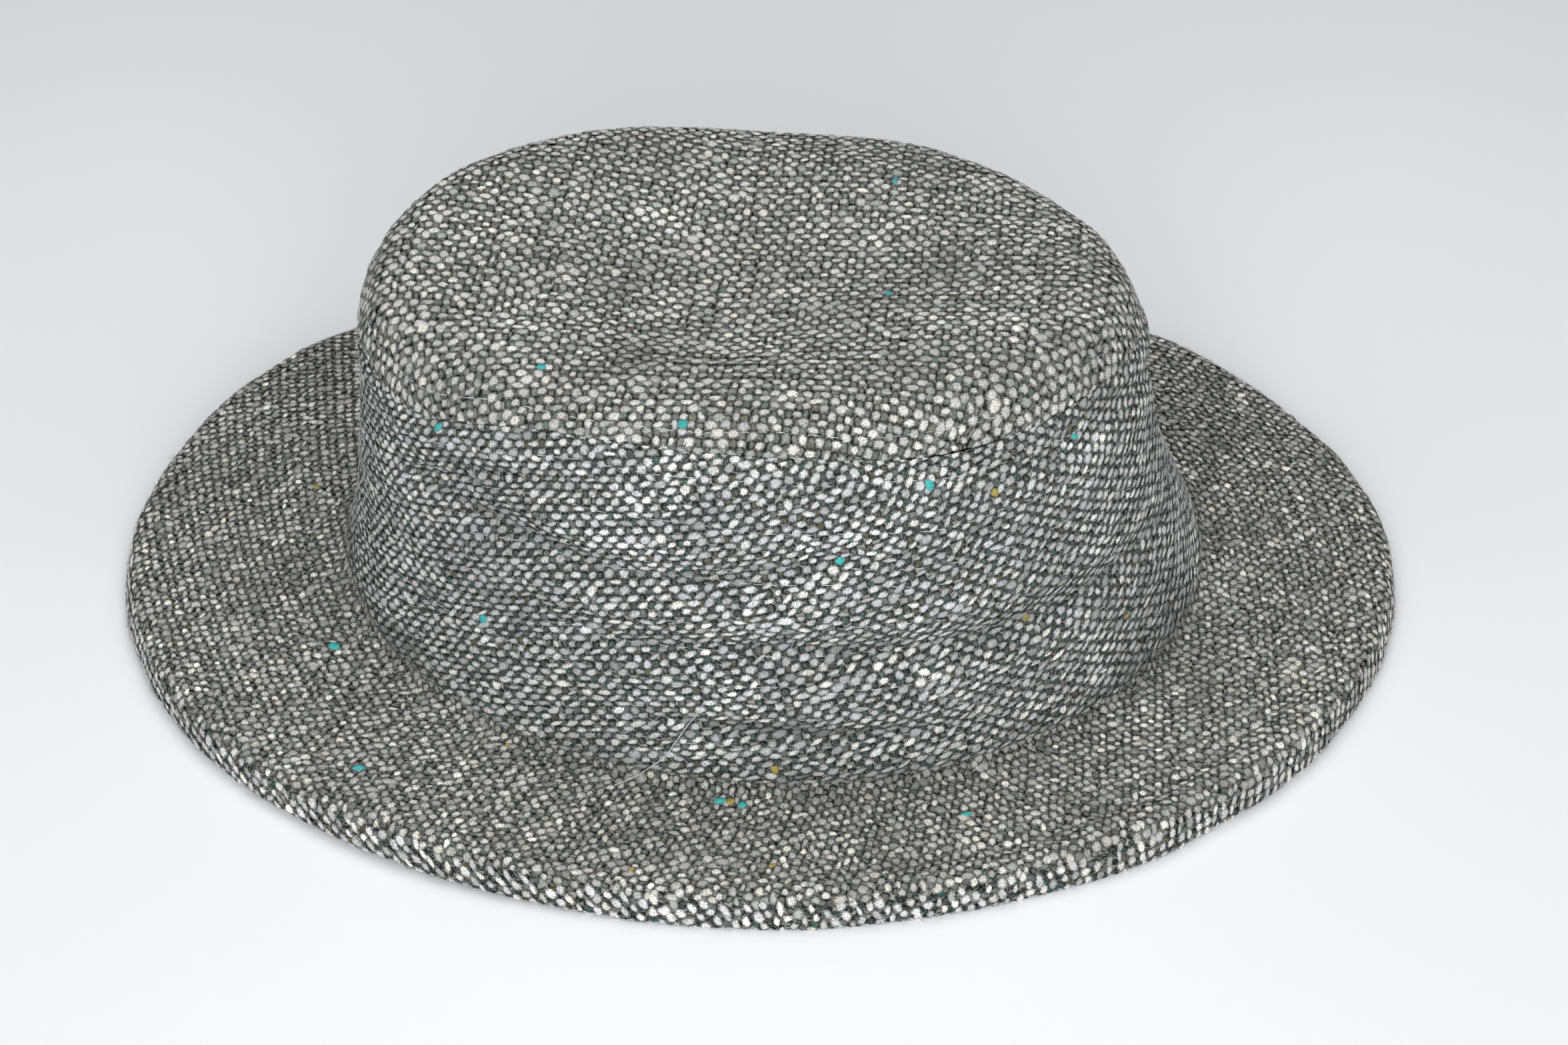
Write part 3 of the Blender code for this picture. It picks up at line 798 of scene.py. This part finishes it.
def wovenCloth():
    # the same wool, printed: cos(pi x) cos(pi y) over the crossings' numbers is above zero at light floats
    # and below zero at dark ones
    material, tree, shader = newMaterial("tweedCloth", yarnLook["roughness"], yarnLook["shine"])
    place = addNode(tree, "UVMap", {"uv_map": "yarnUv"})["UV"]
    split = addNode(tree, "SeparateXYZ", Vector=place)
    waves = []
    for axis in ("X", "Y"):
        turned = addNode(tree, "Math", {"operation": "MULTIPLY"}, i0=split[axis], i1=np.pi)["Value"]
        waves.append(addNode(tree, "Math", {"operation": "COSINE"}, i0=turned)["Value"])
    both = addNode(tree, "Math", {"operation": "MULTIPLY"}, i0=waves[0], i1=waves[1])["Value"]
    darkest, lightest = backing["fromDarkToLight"]
    share = addNode(tree, "MapRange", Value=both, i1=darkest, i2=lightest)["Result"]
    colour = addNode(tree, "Mix", {"data_type": "RGBA"}, Factor=share, i6=(*linear(backing["dark"]), 1),
                     i7=(*linear(backing["light"]), 1))[2]
    crown = addNode(tree, "Math", {"operation": "ABSOLUTE"}, i0=both)["Value"]
    bump = addNode(tree, "Bump", Strength=1.0, Distance=backing["bumpMm"] * mm, Height=crown)["Normal"]
    tree.links.new(colour, shader.inputs["Base Color"])
    tree.links.new(bump, shader.inputs["Normal"])
    return material


def backingCloth(name, node, pole):
    # closed shell: the chart sunk a little, the same chart sunk by the wall, and the strips between their
    # edges; its UVs are numbers of crossings along both yarns
    chart, toFlat, flatTo, slot = panels[name]
    around, across, wall = backing["around"], backing["rows"][name], backing["wall"][name]
    degrees = 90 + np.linspace(0, 360 - 1e-6, around + 1)
    turn, share = np.meshgrid(degrees, np.linspace(0, 1, across + 1), indexing="ij")
    run = share * lengthAt(chart, turn)
    outer = onChart(chart, turn, run, np.full(run.shape, backing["depthMm"] * mm))
    inner = onChart(chart, turn, run, np.full(run.shape, -wall))
    points = np.stack([outer, inner])
    points[..., 2] = np.maximum(points[..., 2], 0)
    number = np.arange(points[..., 0].size).reshape(points.shape[:-1])
    first = 1 if pole else 0
    sheetFaces = lambda layer: np.stack([layer[:-1, first:-1], layer[:-1, first + 1:], layer[1:, first + 1:],
                                         layer[1:, first:-1]], -1).reshape(-1, 4)
    edgeFaces = lambda at: np.stack([number[0, :-1, at], number[0, 1:, at], number[1, 1:, at],
                                     number[1, :-1, at]], -1)
    faces = [sheetFaces(number[0]), sheetFaces(number[1])[:, ::-1], edgeFaces(across)[:, ::-1]]
    faces += [] if pole else [edgeFaces(0)]
    corners = np.concatenate(faces).ravel()
    starts = np.arange(len(corners) // 4) * 4
    if pole:
        for layer, order in ((number[0], [0, 1, 2]), (number[1], [2, 1, 0])):
            fan = np.stack([np.full(around, layer[0, 0]), layer[:-1, 1], layer[1:, 1]], -1)[:, order]
            starts = np.concatenate([starts, len(corners) + np.arange(around) * 3])
            corners = np.concatenate([corners, fan.ravel()])
    if not chart["fromMiddle"]:
        corners = corners.reshape(-1, 4)[:, ::-1].ravel()
    uvs = toFlat(turn, run) @ np.linalg.inv(yarnSteps(weaves[name])[1])
    uvs = np.tile(uvs.reshape(-1, 2), (2, 1))[corners]
    # the last column is the first one again, only its place on the flat cloth differs
    closed = number.copy()
    closed[:, -1] = closed[:, 0]
    used, corners = np.unique(closed.ravel()[corners], return_inverse=True)
    points = points.reshape(-1, 3)[used]
    piece = newPiece(f"{name}_cloth", points, corners, starts, clothBack, None, uvs)
    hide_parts(node)
    return piece


clothBack = wovenCloth()
brimCloth = backingCloth("brim", "brim", False)
sideCloth = backingCloth("side", "crown_side", False)
tipCloth = backingCloth("tip", "crown_tip", True)
print("backing cloth done")


# Strands: thin closed tubes for stitches, fibres and the loose thread
def strands(name, paths, ups, radii, sides, colours, material):
    # a ring of points square to each path at each of its steps, closed at both ends
    count, rings = paths.shape[:2]
    along = np.gradient(paths, axis=1)
    along /= np.linalg.norm(along, axis=-1, keepdims=True)
    beside = np.cross(along, ups)
    beside /= np.maximum(np.linalg.norm(beside, axis=-1, keepdims=True), 1e-9)
    above = np.cross(beside, along)
    angles = np.arange(sides) * 2 * np.pi / sides
    ringWay = beside[:, :, None] * np.cos(angles)[:, None] + above[:, :, None] * np.sin(angles)[:, None]
    points = paths[:, :, None] + ringWay * radii[:, :, None, None]
    points[..., 2] = np.maximum(points[..., 2], 0)
    ring, side = np.meshgrid(np.arange(rings - 1), np.arange(sides), indexing="ij")
    after = (side + 1) % sides
    walls = np.stack([ring * sides + side, ring * sides + after, (ring + 1) * sides + after,
                      (ring + 1) * sides + side], -1).reshape(-1)
    ends = np.concatenate([np.arange(sides)[::-1], (rings - 1) * sides + np.arange(sides)])
    corners = np.concatenate([walls[::-1], ends[::-1]])
    starts = np.concatenate([np.arange(len(walls) // 4) * 4, len(walls) + np.array([0, sides])])
    corners = (corners + rings * sides * np.arange(count)[:, None]).ravel()
    starts = (starts + (len(walls) + 2 * sides) * np.arange(count)[:, None]).ravel()
    colours = np.repeat(np.c_[colours, np.ones(count)], rings * sides, axis=0)
    return newPiece(name, points.reshape(-1, 3), corners, starts, material, colours)


def overCloth(chart, degrees, run, height):
    # a path over the cloth, with the direction out of it at every step
    points = onChart(chart, degrees, run, height)
    ups = onChart(chart, degrees, run, height + 0.1 * mm) - points
    return points, ups / np.linalg.norm(ups, axis=-1, keepdims=True)


def threadMaterial(name, roughness, shine):
    # plain, in each strand's own colour
    material, tree, shader = newMaterial(name, roughness, shine)
    colour = addNode(tree, "Attribute", {"attribute_name": "yarnColour"})["Color"]
    tree.links.new(colour, shader.inputs["Base Color"])
    return material


# Quilting stitches
# Twisted nylon sewing thread: smooth and silvery, so it glints between the matt yarns. Its rows go right
# round.
stitches = {
    "dashMm": 2.3,
    "everyMm": 3.6,
    "thickMm": 0.16,
    "crestMm": 0.36,
    "dipMm": 0.45,             # how far a dash's ends go down into the cloth
    "lengthLuck": 0.2,
    "placeLuck": 0.12,
    "strayMm": 0.9,            # how far a row strays up and down, in so many waves round the hat
    "strayWaves": (3, 7, 16),
    "rings": 4,
    "sides": 3,
    "shades": (0.75, 1.25),
    "sideRows": [0.93, 0.80, 0.68, 0.63, 0.51, 0.41, 0.31, 0.22, 0.12],
    "tipRows": [0.93],
    "colour": "#dadddf",
    "roughness": 0.35,
    "shine": 0.6,
}
nylon = threadMaterial("nylonSewingThread", stitches["roughness"], stitches["shine"])


def stitchRow(chart, share):
    # dashes at even steps of the row's own length, each a low arch that dives into the cloth at both ends
    degrees = np.linspace(0, 360, cloth["angleSteps"] + 1)
    run = share * lengthAt(chart, degrees)
    for wave, phase in zip(stitches["strayWaves"], dice.random(3) * 2 * np.pi):
        run = run + stitches["strayMm"] * mm / 3 * np.sin(np.radians(degrees) * wave + phase)
    points = onChart(chart, degrees, run, np.zeros(len(degrees)))
    length = np.concatenate([[0], np.cumsum(np.linalg.norm(np.diff(points, axis=0), axis=1))])
    count = int(length[-1] / (stitches["everyMm"] * mm))
    middles = (np.arange(count) + stitches["placeLuck"] * dice.normal(size=count)) * length[-1] / count
    offsets = np.linspace(-0.5, 0.5, stitches["rings"])
    long = stitches["dashMm"] * mm * (1 + stitches["lengthLuck"] * dice.normal(size=count))
    at = (middles[:, None] + offsets * long[:, None]) % length[-1]
    height = (stitches["crestMm"] - stitches["dipMm"] * (2 * offsets) ** 2) * mm + np.zeros_like(at)
    return overCloth(chart, np.interp(at, length, degrees), np.interp(at, length, run), height)


rows = [stitchRow(sideChart, share) for share in stitches["sideRows"]]
rows += [stitchRow(tipChart, share) for share in stitches["tipRows"]]
paths, ups = (np.concatenate([row[k] for row in rows]) for k in (0, 1))
shades = stitches["shades"][0] + np.ptp(stitches["shades"]) * dice.random((len(paths), 1))
radii = np.full(paths.shape[:2], stitches["thickMm"] / 2 * mm)
strands("quilting_stitches", paths, ups, radii, stitches["sides"], linear(stitches["colour"]) * shades, nylon)

# One stitch has pulled out at the front and lies as a loose end from the brim up the wall.
looseThread = {
    "brimPlaces": [(251.0, 6.0, 0.3), (253.0, 1.2, 1.0)],         # degrees, run and height in mm
    "sidePlaces": [(254.7, 2.4, 1.7), (256.2, 4.7, 1.3), (258.0, 9.7, 0.7), (259.5, 13.8, 0.5),
                   (260.9, 18.2, 0.6), (262.0, 21.8, 0.2)],
    "thickMm": 0.22,
    "twistMm": 0.6,
    "twistDepth": 0.3,         # how far its twist thickens and thins it
    "steps": 120,
    "sides": 6,
    "up": (0.0, -0.7, 0.7),
    "colour": "#d5d8da",
}
knots = np.concatenate([onChart(chart, places[:, 0], places[:, 1] * mm, places[:, 2] * mm)
                        for chart, places in ((brimChart, np.array(looseThread["brimPlaces"])),
                                              (sideChart, np.array(looseThread["sidePlaces"])))])
places = np.concatenate([[0], np.cumsum(np.linalg.norm(np.diff(knots, axis=0), axis=1))])
at = np.linspace(0, places[-1], looseThread["steps"])
path = np.stack([smoothRun(places, knots[:, k], np.gradient(knots[:, k], places), at) for k in range(3)], -1)
twist = 1 + looseThread["twistDepth"] * np.sin(at / (looseThread["twistMm"] * mm) * 2 * np.pi)
ups = np.broadcast_to(looseThread["up"], path.shape)
radii = looseThread["thickMm"] / 2 * mm * twist
strands("loose_thread", path[None], ups[None], radii[None], looseThread["sides"],
        linear(looseThread["colour"])[None], nylon)
print("stitches done", len(paths))


# Coloured neps
# Small balls of dyed wool, carded in with the grey: turquoise and mustard, sparse and bright.
neps = {
    "turquoise": "#2bb8b4",
    "mustard": "#a8923a",
    "mustardSize": 0.75,       # share of a turquoise nep's size
    "longMm": 3.8,
    "wideMm": 3.1,
    "crestMm": 0.50,
    "sizeLuck": 0.2,
    "shades": (0.8, 1.2),
    "sides": 8,
    # on the far side, at random: neps for each square mm, first angle and how far on, distance from the
    # edges, and the radius that its area is worked out with
    "hiddenShare": {"side": 0.00035, "tip": 0, "brim": 0.00035},
    "hiddenDegrees": (10, 160),
    "hiddenEdgeMm": 2,
    "hiddenReachMm": 80,
    "turquoisePlaces": {       # degrees and run in mm
        "tip": [(229.4, 59.4), (260.0, 61.4), (53.9, 47.9), (336.7, 32.1)],
        "side": [(220.1, 65.1), (229.8, 24.6), (280.6, 56.4), (294.4, 70.0), (321.0, 66.5)],
        "brim": [(263.8, 5.3), (266.5, 6.1), (291.0, 15.7), (205.5, 11.9), (228.1, 30.2)],
    },
    "mustardPlaces": {
        "tip": [],
        "side": [(304.0, 64.0), (306.4, 30.2), (270.2, 4.0), (324.4, 16.3)],
        "brim": [(235.6, 4.7), (258.7, 29.9), (270.9, 25.3), (265.0, 5.3)],
    },
}
for name, share in neps["hiddenShare"].items():
    chart, toFlat, flatTo, slot = panels[name]
    places, colours, sizes = [], [], []
    area = np.pi * float(chart["length"].mean()) * neps["hiddenReachMm"] * mm / mm ** 2
    span = [neps["hiddenDegrees"][1], float(chart["length"].min()) / mm - 2 * neps["hiddenEdgeMm"]]
    for dye, size in (("turquoise", 1), ("mustard", neps["mustardSize"])):
        hidden = dice.random((int(area * share), 2)) * span + [neps["hiddenDegrees"][0], neps["hiddenEdgeMm"]]
        here = [*neps[dye + "Places"][name], *map(tuple, hidden)]
        places += here
        colours += [linear(neps[dye])] * len(here)
        sizes += [size] * len(here)
    places, colours = np.array(places), np.array(colours)
    count = len(places)
    size = (1 + neps["sizeLuck"] * dice.normal(size=(2, count))) * sizes * mm
    turn = dice.random(count) * np.pi
    shades = neps["shades"][0] + np.ptp(neps["shades"]) * dice.random((count, 1))
    floatMesh(f"{name}_neps", toFlat(places[:, 0], places[:, 1] * mm), turn, neps["longMm"] * size[0],
              neps["wideMm"] * size[1], 0, np.full(count, neps["crestMm"] * mm), colours * shades,
              neps["sides"], flatTo, chart, woolYarns["light"])
print("neps done")


# Wool fuzz
# Loose fibre ends that stand and curl just over the yarns, mostly light, and seen best against the outline.
# The worn edge of the hem has the most and the longest.
fuzz = {
    "counts": {"side": 2400, "tip": 1000, "brim": 1500, "hem": 1900},
    "heightMm": {"side": 0.75, "tip": 0.75, "brim": 0.75, "hem": 1.5},
    "hemWideMm": 6,
    "lengthMm": (1.2, 4.5),
    "thickMm": 0.055,
    "rings": 4,
    "sides": 3,
    "lowMm": 0.10,
    "archMm": 0.22,
    "curl": 1.4,
    "taper": 0.5,
    "sizes": (0.8, 1.3),
    "colours": ["#e6e3dc", "#b9b9b5", "#454a49"],
    "shares": [0.50, 0.25, 0.25],
    "roughness": 0.8,
    "shine": 0.3,
}
fibre = threadMaterial("woolFibre", fuzz["roughness"], fuzz["shine"])
for name, count in fuzz["counts"].items():
    chart, toFlat, flatTo, slot = panels[name]
    degrees = dice.random(count) * 360
    share = np.sqrt(dice.random(count)) if name == "tip" else dice.random(count)
    edge = lengthAt(chart, degrees)
    run = edge - share * fuzz["hemWideMm"] * mm if name == "hem" else share * edge
    length = (fuzz["lengthMm"][0] + np.ptp(fuzz["lengthMm"]) * dice.random(count) ** 2) * mm
    s = np.linspace(0, 1, fuzz["rings"])
    heading = dice.random(count)[:, None] * 2 * np.pi + (dice.normal(size=count) * fuzz["curl"])[:, None] * s
    steps = np.stack([np.cos(heading), np.sin(heading)], -1) * (length / (fuzz["rings"] - 1))[:, None, None]
    flat = toFlat(degrees, run)[:, None] + np.cumsum(steps, axis=1)
    lift = (dice.random(count) ** 2 * fuzz["heightMm"][name])[:, None] * s
    height = (fuzz["lowMm"] + fuzz["archMm"] * np.sin(np.pi * s) + lift) * mm
    paths, ups = overCloth(chart, *flatTo(flat), height)
    size = fuzz["sizes"][0] + np.ptp(fuzz["sizes"]) * dice.random((count, 1))
    radii = fuzz["thickMm"] / 2 * mm * (1 - fuzz["taper"] * s) * size
    palette = np.array([linear(colour) for colour in fuzz["colours"]])
    colours = palette[np.searchsorted(np.cumsum(fuzz["shares"])[:-1], dice.random(count))]
    strands(f"{name}_fuzz", paths, ups, radii, fuzz["sides"], colours, fibre)
print("fuzz done")


# Floor, light and camera
studio = {
    "azimuth": 0,              # this and the boxes' azimuths are counted from -Y
    "elevation": 38,
    "distance": 0.850,
    "aim": (0.0056, -0.0033, 0.0161),
    "lens": 83.9,
    "sensorMm": 36,
    "floorSize": 8,
    "floorColour": "#f0f1f4",
    "floorRoughness": 0.8,
    "floorShine": 0.2,
    "skyColour": "#f4f5f7",
    "skyStrength": 0.03,
    # soft boxes: azimuth, elevation, distance, size, watts
    "boxes": {
        "frontBox": (0, 25, 1.0, 0.6, 7.1),
        "leftBox": (-60, 50, 1.0, 0.6, 2.1),
        "rightBox": (60, 50, 1.0, 0.6, 1.95),
        "topBox": (180, 75, 1.0, 0.6, 4.5),
    },
}
bpy.ops.mesh.primitive_grid_add(x_subdivisions=2, y_subdivisions=2, size=studio["floorSize"])
floor = bpy.context.object
floor.name = "floor"
paper, tree, shader = newMaterial("whitePaperFloor", studio["floorRoughness"], studio["floorShine"])
shader.inputs["Base Color"].default_value = (*linear(studio["floorColour"]), 1)
floor.data.materials.append(paper)

world = bpy.data.worlds.new("studioSky")
bpy.context.scene.world = world
world.use_nodes = True
sky = world.node_tree.nodes["Background"].inputs
sky["Color"].default_value = (*linear(studio["skyColour"]), 1)
sky["Strength"].default_value = studio["skyStrength"]


def softBox(name, azimuth, elevation, distance, size, watts):
    # a square lamp on a sphere around the hat, turned to its middle
    around, up = np.radians(azimuth), np.radians(elevation)
    place = Vector((np.sin(around) * np.cos(up), -np.cos(around) * np.cos(up), np.sin(up))) * distance
    lamp = bpy.data.lights.new(name, "AREA")
    lamp.energy = watts
    lamp.size = size
    light = bpy.data.objects.new(name, lamp)
    light.location = place
    light.rotation_euler = (-place).to_track_quat("-Z", "Y").to_euler()
    bpy.context.scene.collection.objects.link(light)


for name, settings in studio["boxes"].items():
    softBox(name, *settings)

camera = bpy.data.objects.new("camera", bpy.data.cameras.new("camera"))
bpy.context.scene.collection.objects.link(camera)
turn, tilt = np.radians(studio["azimuth"]), np.radians(studio["elevation"])
back = Vector((np.sin(turn) * np.cos(tilt), -np.cos(turn) * np.cos(tilt), np.sin(tilt)))
camera.location = Vector(studio["aim"]) + back * studio["distance"]
camera.rotation_euler = (-back).to_track_quat("-Z", "Y").to_euler()
camera.data.sensor_width = studio["sensorMm"]
camera.data.lens = studio["lens"]
camera.data.clip_start = 0.01
bpy.context.scene.camera = camera
bpy.context.scene.view_settings.view_transform = "Standard"
